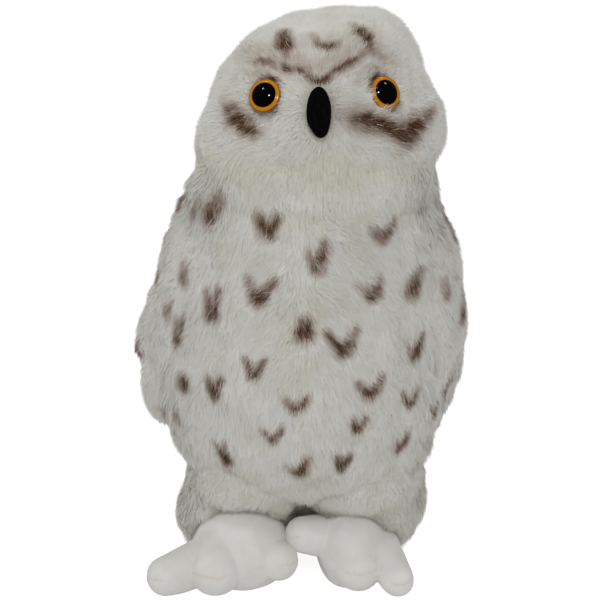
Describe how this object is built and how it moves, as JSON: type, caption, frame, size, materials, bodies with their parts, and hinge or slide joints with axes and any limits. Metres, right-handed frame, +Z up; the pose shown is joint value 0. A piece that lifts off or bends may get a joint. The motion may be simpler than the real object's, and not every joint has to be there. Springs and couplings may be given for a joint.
{
  "type": "plush snowy owl soft toy",
  "caption": "Stuffed plush snowy owl standing on two soft three-toed feet, with glossy eyes, a black felt beak and brown V-shaped flecks.",
  "frame": {"origin": "middle of the toy's box at floor level", "axes": "+Z up; the owl faces -Y; its own right side is at -X and its left at +X"},
  "size_m": [0.1746, 0.1462, 0.293],
  "materials": {
    "plush": "long white pile with dark brown flecks",
    "nap": "short brushed white pile",
    "felt": "short black pile",
    "eye": "glossy amber dome with a black pupil"
  },
  "bodies": {
    "root": {"head": "plush", "neck": "plush", "trunk": "plush", "wing_right": "plush", "wing_left": "plush", "tail": "plush", "leg_right": "plush", "leg_left": "plush", "foot_right": "nap", "foot_left": "nap", "beak": "felt", "eye_right": "eye", "eye_left": "eye"}
  },
  "joints": []
}
